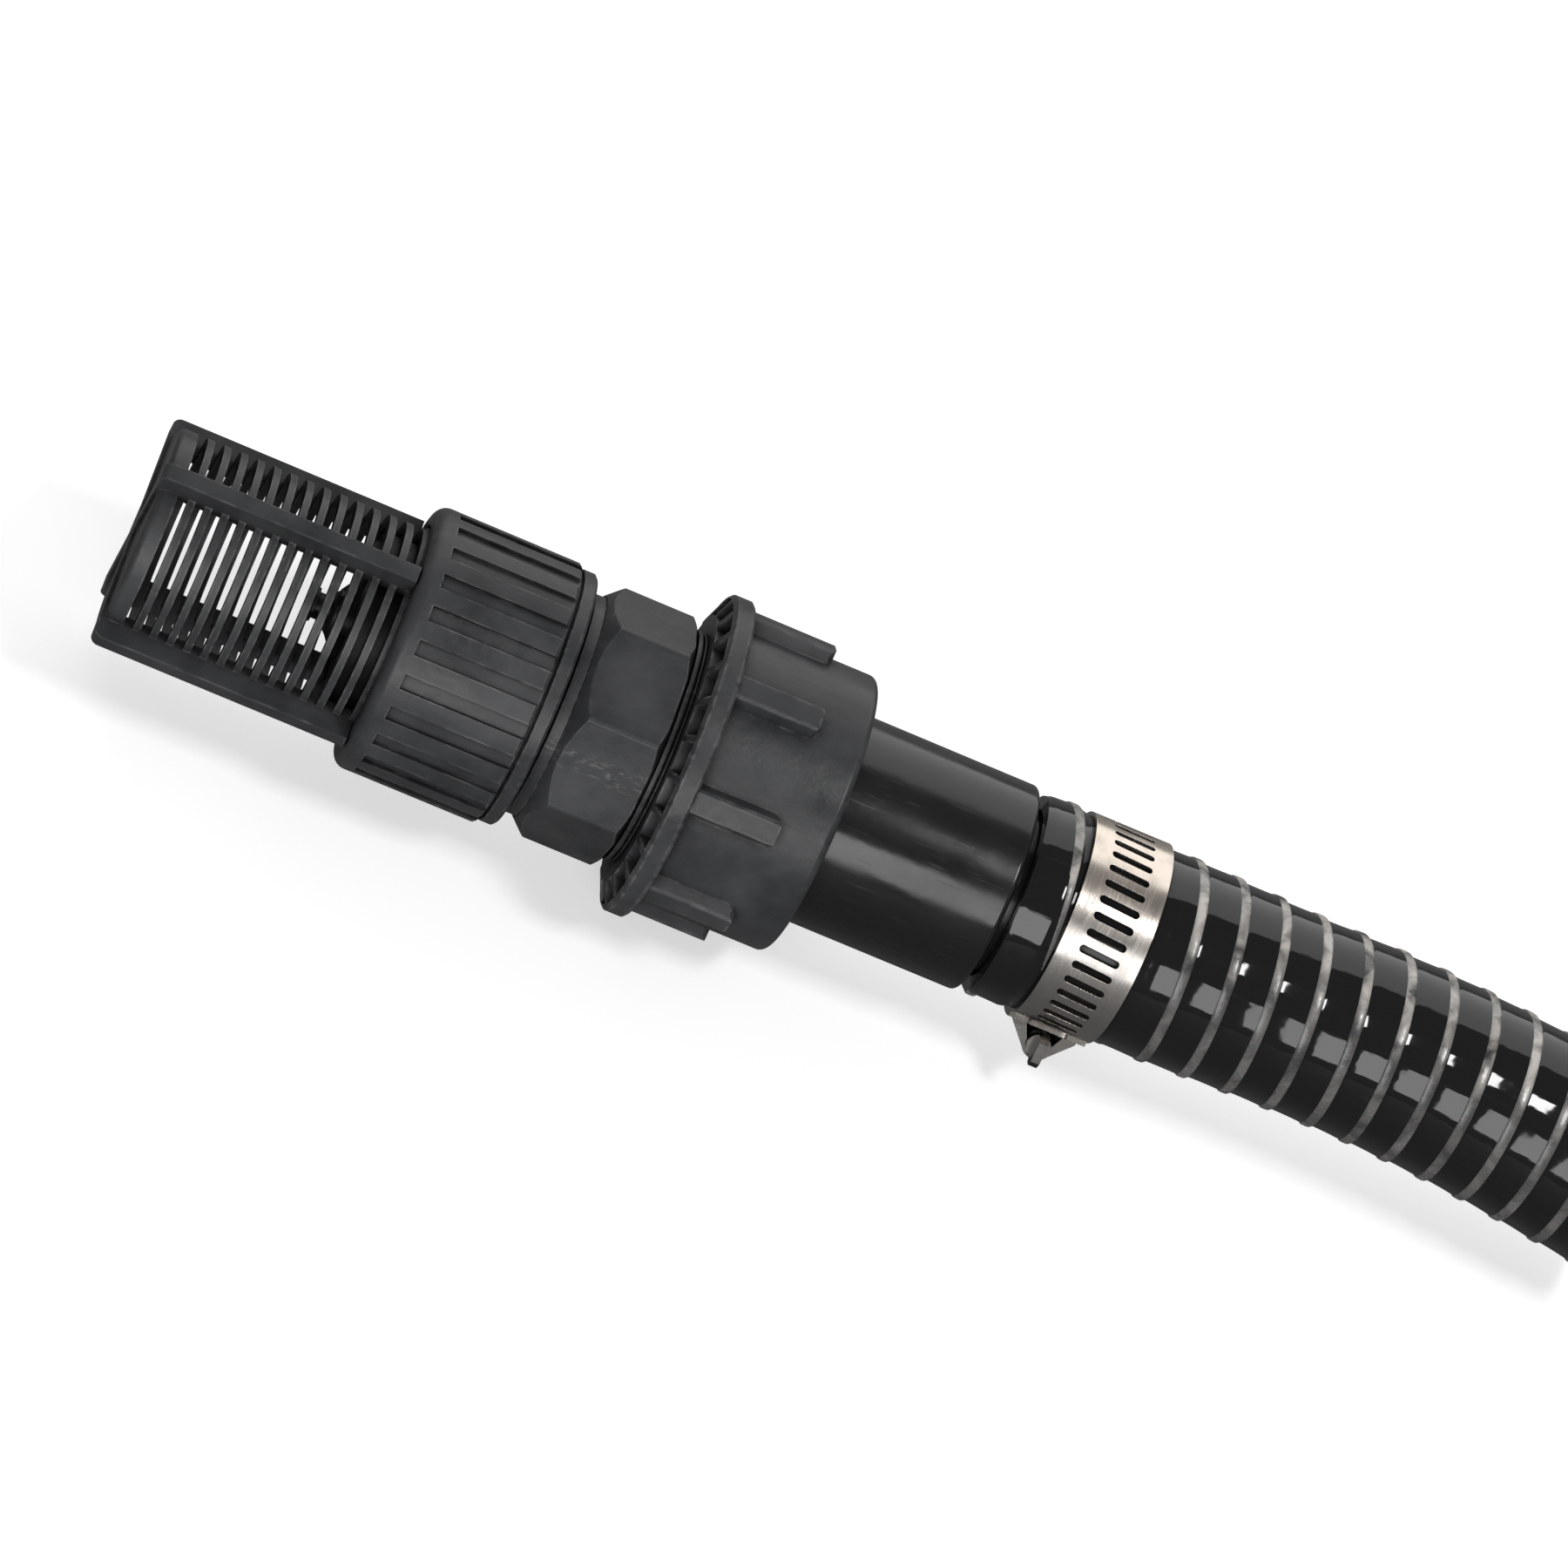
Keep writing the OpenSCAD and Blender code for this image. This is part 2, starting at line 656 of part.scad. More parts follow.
module clamp_screw() {
    half = clamp_housing_len / 2;
    core_r = worm_r - 0.6;
    pitch = 2.72;
    first_thread = 0.2 - half;
    last_thread = half - 1.6;
    thread_count = floor((last_thread - first_thread) / pitch);
    collar = half + 0.9;
    tip = 0.9;
    color(stainless) lay() at_worm() {
        rotate_extrude() polygon(concat(
            [[0, -half - tip], [core_r, -half - tip], [core_r, first_thread]],
            thread_outline(core_r, worm_r, first_thread, pitch, thread_count),
            [[core_r, last_thread], [worm_r, last_thread + 0.4], [worm_r, collar], [0, collar]]));
        // Flat thumb key, with its outer corners cut off
        translate([0, 0, collar - eps]) rotate([90, 0, 90]) linear_extrude(key_t, center = true)
            polygon([[-key_r + 0.8, 0], [key_r - 0.8, 0], [key_r, 0.8], [key_r, key_len - 1],
                     [key_r - 1, key_len], [1 - key_r, key_len], [-key_r, key_len - 1], [-key_r, 0.8]]);
    }
}

strainer_basket();
valve_housing();
seat_gasket();
valve_seat();
poppet();
poppet_seal();
seal_clip();
return_spring();
upper_guide();
body_o_ring();
valve_body();
union_gasket();
union_nut();
hose_tail();
hose_wall();
hose_spiral();
clamp_saddle();
clamp_band();
clamp_housing();
clamp_screw();
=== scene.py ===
"""The looks of the foot valve: finishes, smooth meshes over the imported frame, floor, light and camera."""

import json
import math

import bmesh
import bpy
from mathutils import Matrix, Vector


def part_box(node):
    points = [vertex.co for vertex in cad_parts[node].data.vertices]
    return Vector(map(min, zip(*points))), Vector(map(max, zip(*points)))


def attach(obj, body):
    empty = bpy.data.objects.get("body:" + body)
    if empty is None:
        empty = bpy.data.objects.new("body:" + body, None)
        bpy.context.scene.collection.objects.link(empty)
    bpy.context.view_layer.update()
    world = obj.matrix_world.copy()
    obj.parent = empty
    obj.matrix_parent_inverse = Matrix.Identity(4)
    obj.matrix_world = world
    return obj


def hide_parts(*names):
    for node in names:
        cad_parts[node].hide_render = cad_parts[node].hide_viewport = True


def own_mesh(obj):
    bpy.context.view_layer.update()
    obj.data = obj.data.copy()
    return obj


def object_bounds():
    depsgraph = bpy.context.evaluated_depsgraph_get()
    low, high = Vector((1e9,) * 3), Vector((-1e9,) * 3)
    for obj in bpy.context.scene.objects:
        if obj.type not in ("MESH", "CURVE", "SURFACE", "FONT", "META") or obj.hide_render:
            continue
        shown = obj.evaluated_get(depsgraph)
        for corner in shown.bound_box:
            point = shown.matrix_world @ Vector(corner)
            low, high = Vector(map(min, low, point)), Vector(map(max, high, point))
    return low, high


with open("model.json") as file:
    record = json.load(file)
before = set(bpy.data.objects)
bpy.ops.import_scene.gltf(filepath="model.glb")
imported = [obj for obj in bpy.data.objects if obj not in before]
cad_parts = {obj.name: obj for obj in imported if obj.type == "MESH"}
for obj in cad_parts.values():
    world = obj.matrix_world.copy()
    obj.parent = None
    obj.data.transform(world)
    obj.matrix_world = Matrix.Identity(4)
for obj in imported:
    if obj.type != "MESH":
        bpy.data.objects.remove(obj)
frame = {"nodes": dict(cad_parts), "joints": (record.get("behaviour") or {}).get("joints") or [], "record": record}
cad_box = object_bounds()
MM = 0.001
AHEAD = Vector((1, 0, 0))

# Up, and a little towards the back of the scene: where the painted light on the spiral and the steel falls from
UPWARD = (0.0, 0.3, 0.95)


# ---- Finishes ----

class Finish:
    """A material being wired. Each method adds nodes and returns the output that carries its result."""

    def __init__(self, name):
        self.material = bpy.data.materials.new(name)
        self.material.use_nodes = True
        self.tree = self.material.node_tree
        self.surface = self.tree.nodes["Principled BSDF"]
        self.place = self.node("TexCoord").outputs["Object"]
        self.normal = self.node("NewGeometry").outputs["Normal"]

    def wire(self, node, inputs):
        """Sets a node's inputs, by link where the value is another node's output."""
        for key, value in inputs.items():
            if isinstance(value, bpy.types.NodeSocket):
                self.tree.links.new(value, node.inputs[key])
            else:
                node.inputs[key].default_value = value
        return node

    def node(self, kind, inputs=None, **settings):
        """Adds a shader node of a kind, with its settings and inputs."""
        made = self.tree.nodes.new("ShaderNode" + kind)
        for name, value in settings.items():
            setattr(made, name, value)
        return self.wire(made, inputs or {})

    def noise(self, size, stretch=(1, 1, 1), detail=3.0, distortion=0.0):
        """Noise with grains about size metres wide, longer along each axis by its stretch."""
        squeezed = self.node("Mapping", {"Vector": self.place, "Scale": [1 / s for s in stretch]})
        made = self.node("TexNoise", {"Vector": squeezed.outputs[0], "Scale": 1 / size,
                                      "Detail": detail, "Distortion": distortion})
        return made.outputs["Fac"]

    def spread(self, value, low, high, start=0.0, end=1.0):
        """Takes value from low...high to start...end, and holds it there outside."""
        made = self.node("MapRange", {"Value": value, "From Min": low, "From Max": high,
                                      "To Min": start, "To Max": end})
        return made.outputs["Result"]

    def maths(self, operation, first, second):
        """The result of an operation on two values."""
        return self.node("Math", {0: first, 1: second}, operation=operation).outputs[0]

    def mix(self, share, first, second):
        """The first colour where share is 0, and the second where it is 1."""
        return self.node("MixRGB", {"Fac": share, "Color1": first, "Color2": second}).outputs["Color"]

    def edges(self, radius):
        """1 along edges, over about radius metres, and 0 on open faces."""
        rounded = self.node("Bevel", {"Radius": radius}, samples=4).outputs["Normal"]
        dot = self.node("VectorMath", {0: rounded, 1: self.normal}, operation="DOT_PRODUCT")
        return self.spread(dot.outputs["Value"], 0.995, 0.90)

    def openness(self, reach):
        """1 on open surfaces, falling towards 0 in grooves and corners narrower than reach metres."""
        return self.node("AmbientOcclusion", {"Distance": reach}, samples=6).outputs["AO"]

    def facing(self, direction):
        """How far the surface faces a direction, from -1 to 1."""
        dot = self.node("VectorMath", {0: self.normal, 1: direction}, operation="DOT_PRODUCT")
        return dot.outputs["Value"]

    def beside_axis(self, direction, spread_degrees):
        """1 where the surface lies in a direction from the valve's axis, and 0 beyond the spread."""
        flat = self.node("VectorMath", {0: self.place, 1: (0.0, 1.0, 1.0)}, operation="MULTIPLY")
        unit = self.node("VectorMath", {0: flat.outputs[0]}, operation="NORMALIZE")
        dot = self.node("VectorMath", {0: unit.outputs[0], 1: direction}, operation="DOT_PRODUCT")
        return self.spread(dot.outputs["Value"], math.cos(math.radians(spread_degrees)), 1.0)

    def bump(self, height, depth, under=None):
        """A bump whose full height is depth metres, on top of an earlier one."""
        inputs = {"Height": height, "Distance": depth, "Strength": 1.0}
        if under is not None:
            inputs["Normal"] = under
        return self.node("Bump", inputs).outputs["Normal"]

    def done(self, **inputs):
        """Wires the finished surface. An input's spaces are written as underscores."""
        named = {key.replace("_", " "): value for key, value in inputs.items()}
        self.wire(self.surface, named)
        return self.material


def grey(value, warmth=0.0):
    """A grey in linear light, warmer above 0 and cooler below."""
    return (value * (1 + warmth), value, value * (1 - warmth), 1.0)


def moulded_plastic(name, shade, rub_and_sheen_strength, rub_and_sheen_width=0.5 * MM, seam=None):
    """Moulded plastic: fine grain, cloudy marks, pale rubs on edges which also paint a sheen there, pale rubs
    along a seam, and painted shade in grooves and corners.
    """
    f = Finish(name)
    cloud = f.noise(9 * MM, detail=6.0)
    rub = f.noise(1.6 * MM, stretch=(2.5, 1, 1), detail=6.0, distortion=0.6)
    grain = f.noise(0.16 * MM, detail=2.0)
    dents = f.noise(2.4 * MM, detail=2.0)
    # Pale rubs on edges: partly real wear, partly a painted sheen on the rounded edges
    rub_and_sheen = f.maths("MULTIPLY", f.edges(rub_and_sheen_width), f.spread(rub, 0.42, 0.68))
    if seam is not None:
        scratch = f.noise(0.8 * MM, stretch=(3, 1, 1), detail=6.0, distortion=1.5)
        scuffed = f.maths("MULTIPLY", f.beside_axis(seam, 7.0), f.spread(scratch, 0.52, 0.72))
        rub_and_sheen = f.maths("MAXIMUM", rub_and_sheen, f.maths("MULTIPLY", scuffed, 0.8))
    body = f.mix(f.spread(cloud, 0.3, 0.7), grey(shade * 0.65, -0.05), grey(shade * 1.4, -0.03))
    specks = f.maths("MULTIPLY", f.spread(grain, 0.66, 0.80), 0.35)
    body = f.mix(specks, body, grey(shade * 3))
    # Pale colour on edges and along the seam: rubs, plus a painted sheen on the rounded edges
    body = f.mix(f.maths("MULTIPLY", rub_and_sheen, rub_and_sheen_strength), body, grey(0.17))
    # Painted shade: the colour goes towards near black, and reflections dim, in grooves and corners narrower than
    # 2.5 mm
    painted_unshaded_share = f.spread(f.openness(2.5 * MM), 0.30, 0.85, 0.12, 1.0)
    body = f.mix(painted_unshaded_share, grey(0.002), body)
    rough = f.spread(f.maths("ADD", cloud, f.maths("MULTIPLY", rub, 0.5)), 0.5, 1.0, 0.29, 0.50)
    normal = f.bump(dents, 0.07 * MM)
    normal = f.bump(grain, 0.014 * MM, under=normal)
    shine_with_painted_shade = f.maths("MULTIPLY", painted_unshaded_share, 0.36)
    return f.done(Base_Color=body, Roughness=rough, Normal=normal, Specular_IOR_Level=shine_with_painted_shade)


def gloss_plastic(name, shade, roughness, dulling):
    """Glossy black plastic with fine scratches along the axis and patches rougher by dulling. Its reflections are
    dimmed in grooves and beside other parts, as painted shade.
    """
    f = Finish(name)
    patches = f.noise(7 * MM, stretch=(2, 1, 1), detail=4.0)
    scratches = f.noise(0.35 * MM, stretch=(22, 1, 1), detail=3.0)
    ripple = f.noise(4 * MM, stretch=(1.5, 1, 1), detail=2.0)
    marks = f.spread(scratches, 0.62, 0.78)
    body = f.mix(f.maths("MULTIPLY", marks, 0.5), grey(shade), grey(shade * 4))
    rough = f.maths("ADD", f.spread(patches, 0.35, 0.7, roughness, roughness + dulling),
                    f.maths("MULTIPLY", marks, dulling * 1.7))
    normal = f.bump(ripple, 0.05 * MM)
    normal = f.bump(scratches, 0.004 * MM, under=normal)
    # Painted shade: reflections dim in grooves and close to other parts
    shine_with_painted_shade = f.spread(f.openness(1.5 * MM), 0.50, 0.85, 0.03, 0.5)
    return f.done(Base_Color=body, Roughness=rough, Normal=normal, Specular_IOR_Level=shine_with_painted_shade)


def milky_plastic(name):
    """The hose's spiral: milky and pale where it faces up and greyer below, as painted light, and greyer where
    black film has run over it.
    """
    f = Finish(name)
    film = f.noise(5 * MM, detail=5.0, distortion=0.8)
    fine = f.noise(0.5 * MM, detail=2.0)
    # Painted light: the spiral's colour is pale where it faces up and grey where it faces down
    painted_top_light = f.spread(f.facing(UPWARD), 0.40, 0.85)
    milk_with_painted_light = f.mix(painted_top_light, grey(0.12, 0.03), grey(0.50, 0.06))
    body = f.mix(f.spread(film, 0.34, 0.62), grey(0.045, 0.0), milk_with_painted_light)
    rough = f.spread(fine, 0.3, 0.7, 0.14, 0.32)
    return f.done(Base_Color=body, Roughness=rough, Normal=f.bump(fine, 0.03 * MM),
                  Subsurface_Weight=0.25, Subsurface_Scale=0.6 * MM)


def rubber(name):
    """Matt black rubber with a cloudy grey bloom."""
    f = Finish(name)
    bloom = f.noise(3 * MM, detail=5.0)
    grain = f.noise(0.2 * MM, detail=2.0)
    body = f.mix(f.spread(bloom, 0.35, 0.7), grey(0.014), grey(0.035, 0.02))
    rough = f.spread(bloom, 0.3, 0.7, 0.62, 0.82)
    return f.done(Base_Color=body, Roughness=rough, Normal=f.bump(grain, 0.02 * MM))


def stainless(name, shade, stretch):
    """Rolled stainless steel: brushed one way, with a painted reflection that makes it warmer and lighter where it
    faces up, and with duller patches.
    """
    f = Finish(name)
    brushed = f.noise(0.25 * MM, stretch=stretch, detail=3.0)
    patches = f.noise(4 * MM, detail=4.0)
    # Painted reflection: the steel is warmer and lighter where it faces up
    painted_warm_reflection = f.spread(f.facing(UPWARD), 0.3, 0.95)
    body = f.mix(painted_warm_reflection, grey(shade * 0.9, 0.05), grey(shade * 1.15, 0.13))
    body = f.mix(f.spread(patches, 0.5, 0.8, 0.0, 0.5), body, grey(shade * 0.5, 0.08))
    rough = f.maths("ADD", f.spread(patches, 0.3, 0.7, 0.14, 0.26), f.spread(brushed, 0.3, 0.8, 0.0, 0.10))
    return f.done(Base_Color=body, Metallic=1.0, Roughness=rough, Normal=f.bump(brushed, 0.006 * MM))


# The direction from the valve's axis to the parting line that shows
SEAM_FROM_TOP = math.radians(65)
SEAM = (0.0, -math.sin(SEAM_FROM_TOP), math.cos(SEAM_FROM_TOP))

MOULDED_SHADE = 0.032
AROUND_AXIS = (1, 14, 14)
ALONG_AXIS = (8, 1, 1)

FINISHES = {
    "black_moulded": moulded_plastic("black_moulded", MOULDED_SHADE, rub_and_sheen_strength=0.75),
    "seamed_moulded": moulded_plastic("seamed_moulded", MOULDED_SHADE, rub_and_sheen_strength=0.75, seam=SEAM),
    # The nut gets the widest pale edges: rubs, and a painted sheen on its rounded edges
    "rubbed_and_sheened_moulded": moulded_plastic("rubbed_and_sheened_moulded", MOULDED_SHADE, rub_and_sheen_strength=1.0, rub_and_sheen_width=0.8 * MM),
    # A darker copy of the moulded finish, as painted shade on the parts inside the cage
    "inner_moulded": moulded_plastic("inner_moulded", 0.012, rub_and_sheen_strength=0.20),
    "gloss_black": gloss_plastic("gloss_black", 0.006, roughness=0.15, dulling=0.12),
    "hose_black": gloss_plastic("hose_black", 0.005, roughness=0.03, dulling=0.03),
    "spiral_white": milky_plastic("spiral_white"),
    "seal_rubber": rubber("seal_rubber"),
    "stainless": stainless("stainless", 0.54, stretch=AROUND_AXIS),
    # A dark copy of the stainless, as painted shade on the clamp's housing and screw
    "painted_shade_stainless": stainless("painted_shade_stainless", 0.08, stretch=ALONG_AXIS),
}


# ---- CAD nodes that keep their shape ----

USUAL_EDGE = 0.2 * MM
SHARP = math.radians(35)


def dress(node, finish, edge=USUAL_EDGE):
    """Gives a CAD node its finish, and rounds its sharp edges over edge metres."""
    piece = frame["nodes"][node]
    piece.data.materials.clear()
    piece.data.materials.append(FINISHES[finish])
    for face in piece.data.polygons:
        face.use_smooth = True
    weld = piece.modifiers.new("weld", "WELD")
    weld.merge_threshold = 0.001 * MM
    flat = piece.modifiers.new("flat", "DECIMATE")
    flat.decimate_type = "DISSOLVE"
    flat.angle_limit = math.radians(0.3)
    bevel = piece.modifiers.new("bevel", "BEVEL")
    bevel.width = edge
    bevel.segments = 2
    bevel.limit_method = "ANGLE"
    bevel.angle_limit = SHARP
    bevel.miter_outer = "MITER_ARC"
    normals = piece.modifiers.new("normals", "WEIGHTED_NORMAL")
    normals.weight = 80


CAD_FINISHES = {
    "strainer_basket": "black_moulded",
    "valve_housing": "black_moulded",
    "valve_body": "seamed_moulded",
    "union_nut": "rubbed_and_sheened_moulded",
    "valve_seat": "inner_moulded",
    "poppet": "inner_moulded",
    "upper_guide": "inner_moulded",
    "hose_tail": "gloss_black",
    "seat_gasket": "seal_rubber",
    "poppet_seal": "seal_rubber",
    "body_o_ring": "seal_rubber",
    "union_gasket": "seal_rubber",
    "seal_clip": "stainless",
    "clamp_saddle": "stainless",
    "clamp_housing": "painted_shade_stainless",
    "clamp_screw": "painted_shade_stainless",
}
FINE_EDGES = {"clamp_saddle": 0.08 * MM, "clamp_housing": 0.12 * MM, "seal_clip": 0.1 * MM}
for node, finish in CAD_FINISHES.items():
    dress(node, finish, edge=FINE_EDGES.get(node, USUAL_EDGE))


# ---- Hose: its centre line, from the record's mounts ----

# The hose runs straight, bends once, and ends in a straight stretch with the outside mount at its middle
mounts = {m["name"]: m for m in frame["record"]["mounts"]}
hose_mount = mounts["hose_outside"]
hose_r = hose_mount["dims"]["r_mm"] * MM
bore_r = mounts["hose_bore"]["dims"]["r_mm"] * MM
end_axis = Vector(hose_mount["axis"])
end_middle = Vector(hose_mount["pos_m"])
end_half = hose_mount["dims"]["length_mm"] * MM / 2
bend_angle = math.acos(end_axis.x)
sideways = math.hypot(end_middle.y, end_middle.z)
toward = Vector((0, end_axis.y, end_axis.z)).normalized()
toward_angle = math.atan2(toward.y, -toward.z)
across = AHEAD.cross(toward)
bend_r = (sideways - end_half * math.sin(bend_angle)) / (1 - math.cos(bend_angle))
bend_start = end_middle.x - end_half * math.cos(bend_angle) - bend_r * math.sin(bend_angle)
bend_len = bend_r * bend_angle
hose_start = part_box("hose_wall")[0].x
hose_stop = bend_start + bend_len + 2 * end_half


def hose_frame(along):
    """The hose's centre, direction and inward side of its bend, at a length along its centre line."""
    past = min(max(along - bend_start, 0), bend_len)
    turned = past / bend_r
    direction = AHEAD * math.cos(turned) + toward * math.sin(turned)
    inward = toward * math.cos(turned) - AHEAD * math.sin(turned)
    centre = AHEAD * (bend_start + bend_r * math.sin(turned)) + toward * bend_r * (1 - math.cos(turned))
    return centre + direction * (along - bend_start - past), direction, inward


def hose_outward(inward, angle):
    """Away from the hose's centre line, at an angle measured from straight down towards +Y."""
    turn = angle - toward_angle
    return inward * math.cos(turn) + across * math.sin(turn)


# ---- Hose: its wall, which stands up over the turns of its spiral ----

spiral_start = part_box("hose_spiral")[0].x
band_low, band_high = (corner.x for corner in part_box("clamp_band"))
barb_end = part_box("hose_tail")[1].x

PITCH = 6.9 * MM
STRIPE = 1.6 * MM
SPIRAL_ANGLE = math.radians(310)

# The wall drops by VALLEY behind each turn, is lowest at VALLEY_AT of the way to the next, and climbs again
VALLEY = 0.24 * MM
VALLEY_AT = 0.13
CLIMB_POWER = 1.7

# The wall swells over the tail's barbs, and the clamp's band pinches it
SWOLLEN = hose_r + 1.15 * MM
PINCHED = hose_r + 0.55 * MM
OUTSIDE = [
    (hose_start, SWOLLEN - 0.3 * MM),
    (hose_start + 1.2 * MM, SWOLLEN),
    (band_low - 2.4 * MM, SWOLLEN),
    (band_low - 0.2 * MM, PINCHED),
    (band_high + 0.2 * MM, PINCHED),
    (band_high + 2.4 * MM, hose_r + 0.7 * MM),
    (band_high + 30 * MM, hose_r),
    (hose_stop, hose_r),
]
OVER_BARBS = bore_r + 1 * MM
INSIDE = [
    (hose_start, OVER_BARBS),
    (barb_end + 0.5 * MM, OVER_BARBS),
    (barb_end + 4 * MM, bore_r),
    (hose_stop, bore_r),
]


def eased(x, knots):
    """Radius at x through (x, radius) knots, with smooth steps between them."""
    for (x0, r0), (x1, r1) in zip(knots, knots[1:]):
        if x <= x1:
            share = min(max((x - x0) / (x1 - x0), 0), 1)
            return r0 + (r1 - r0) * share * share * (3 - 2 * share)
    return knots[-1][1]


def turn_share(along, angle):
    """How far a point has come from one turn of the stripe to the next, from 0 to 1."""
    turns_along = (along - spiral_start - STRIPE / 2) / PITCH
    turns_around = (angle - SPIRAL_ANGLE) / (2 * math.pi)
    return (turns_along - turns_around) % 1


def looseness(along):
    """0 under the clamp's band, and 1 a little way off."""
    fade = 3 * MM
    return eased(along, [(band_low - fade, 1), (band_low, 0), (band_high, 0), (band_high + fade, 1)])


def wall_radius(along, angle):
    """Outside of the wall: it drops behind each turn and climbs to the next, but not under the clamp."""
    share = turn_share(along, angle)
    if share < VALLEY_AT:
        sunk = math.sin(math.pi / 2 * share / VALLEY_AT) ** 2
    else:
        sunk = 1 - ((share - VALLEY_AT) / (1 - VALLEY_AT)) ** CLIMB_POWER
    return eased(along, OUTSIDE) - VALLEY * sunk * looseness(along)


def skin(name, rings, finish, body, closed=False):
    """A surface through rings of points. It closes onto its first ring, or gets a cap at each end."""
    mesh = bmesh.new()
    made = [[mesh.verts.new(point) for point in ring] for ring in rings]
    pairs = list(zip(made, made[1:]))
    if closed:
        pairs.append((made[-1], made[0]))
    for ring, after in pairs:
        for i in range(len(ring)):
            j = (i + 1) % len(ring)
            mesh.faces.new((ring[i], ring[j], after[j], after[i]))
    if not closed:
        mesh.faces.new(reversed(made[0]))
        mesh.faces.new(made[-1])
    bmesh.ops.recalc_face_normals(mesh, faces=mesh.faces)
    for face in mesh.faces:
        face.smooth = True
    data = bpy.data.meshes.new(name)
    mesh.to_mesh(data)
    mesh.free()
    data.set_sharp_from_angle(angle=math.radians(50))
    piece = bpy.data.objects.new(name, data)
    bpy.context.scene.collection.objects.link(piece)
    data.materials.append(FINISHES[finish])
    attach(piece, body)
    return piece


def steps(low, high, size):
    """Even steps of about size from low to high, both ends included."""
    count = max(1, round((high - low) / size))
    return [low + (high - low) * i / count for i in range(count + 1)]


def hose_wall():
    """The wall's outside, its rounded far end and its bore, as one closed skin."""
    sides = 128
    around = [2 * math.pi * i / sides for i in range(sides)]
    lip = 0.25 * MM
    outer_step = 0.45 * MM
    inner_step = 2 * MM

    def ring(along, radius):
        centre, _, inward = hose_frame(along)
        return [centre + hose_outward(inward, angle) * radius(angle) for angle in around]

    outer = steps(hose_start, hose_stop - lip, outer_step)
    rings = [ring(along, lambda angle: wall_radius(along, angle)) for along in outer]
    rings.append(ring(hose_stop, lambda angle: wall_radius(hose_stop, angle) - lip))
    rings.append(ring(hose_stop, lambda angle: bore_r + lip))
    inner_bend = steps(bend_start, hose_stop - lip, inner_step)
    inner_straight = steps(hose_start, bend_start, inner_step)
    inner = inner_bend[::-1] + inner_straight[-2::-1]
    rings += [ring(along, lambda angle: eased(along, INSIDE)) for along in inner]
    wall = skin("hose_wall_skin", rings, "hose_black", "hose_side", closed=True)
    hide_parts("hose_wall")


def hose_spiral():
    """The reinforcing stripe: a flat crowned strip, a hair proud of the wall and sunk under the clamp."""
    depth = 0.8 * MM
    crown_rise = 0.12 * MM
    edge_drop = 0.1 * MM
    proud = 0.06 * MM
    sunk = 0.25 * MM
    half = STRIPE / 2
    foot = half * 0.8
    per_turn = 96

    def crown(share):
        """Height and shift of the crown's outline, with share from -1 at one edge to 1 at the other."""
        drop = edge_drop if abs(share) == 1 else 0
        return crown_rise * (1 - share ** 4) - drop, half * share

    section = [(-depth, -foot)] + [crown(k / 3) for k in range(-3, 4)] + [(-depth, foot)]
    length = hose_stop - spiral_start - STRIPE
    rings = []
    for i in range(int(length / PITCH * per_turn) + 1):
        angle = SPIRAL_ANGLE + 2 * math.pi * i / per_turn
        along = spiral_start + half + PITCH * i / per_turn
        centre, direction, inward = hose_frame(along)
        outward = hose_outward(inward, angle)
        radius = wall_radius(along, angle) + (proud + sunk) * looseness(along) - sunk
        rings.append([centre + outward * (radius + out) + direction * shift for out, shift in section])
    stripe = skin("hose_spiral_stripe", rings, "spiral_white", "hose_side")
    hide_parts("hose_spiral")


# ---- Spring and clamp ----

def joint(name):
    """The record's joint of that name."""
    return next(j for j in frame["joints"] if j["name"] == name)


def return_spring():
    """The coil, close-wound at both ends and open between them."""
    low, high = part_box("return_spring")
    wire = 0.4 * MM
    wire_sides = 12
    turns = 5
    per_turn = 48
    flat_turns = 0.75
    flat_gap = 0.05 * MM
    flat_rise = flat_turns * (2 * wire + flat_gap)
    around_wire = [2 * math.pi * k / wire_sides for k in range(wire_sides)]
    radius = (high.y - low.y) / 2 - wire
    open_rise = high.x - low.x - 2 * wire - 2 * flat_rise
    rings = []
    for i in range(turns * per_turn + 1):
        turn = i / per_turn
        flat_done = (min(turn, flat_turns) + max(turn - turns + flat_turns, 0)) / flat_turns
        open_done = min(max((turn - flat_turns) / (turns - 2 * flat_turns), 0), 1)
        x = low.x + wire + flat_rise * flat_done + open_rise * open_done
        angle = 2 * math.pi * turn
        outward = Vector((0, math.sin(angle), -math.cos(angle)))
        centre = outward * radius + AHEAD * x
        rings.append([centre + (outward * math.cos(side) + AHEAD * math.sin(side)) * wire
                      for side in around_wire])
    spring = skin("return_spring_coil", rings, "stainless", "housing")
    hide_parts("return_spring")
    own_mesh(spring)


SLOT_COUNT = 38
SLOT_HALF_LENGTH = 3.3 * MM
SLOT_HALF_WIDTH = 0.575 * MM
SLOT_LEAN = math.tan(math.radians(4))
BAND_THICKNESS = 0.65 * MM


def slot_half(offset):
    """Half the width of a round-ended slot, at an offset across the band from its middle."""
    past = max(abs(offset) - (SLOT_HALF_LENGTH - SLOT_HALF_WIDTH), 0)
    return math.sqrt(max(SLOT_HALF_WIDTH ** 2 - past ** 2, 0))


def band_offsets():
    """Stations across the band, close together round the slots' ends."""
    half_band = (band_high - band_low) / 2
    arc_steps = 5
    slot_arc = [SLOT_HALF_LENGTH - SLOT_HALF_WIDTH * (1 - math.sin(math.pi / 2 * k / arc_steps))
                for k in range(arc_steps + 1)]
    inside = steps(0, slot_arc[0], 0.7 * MM)
    outside = steps(slot_arc[-1], half_band, 0.6 * MM)
    upper = inside[:-1] + slot_arc + outside[1:]
    return [-offset for offset in upper[:0:-1]] + upper


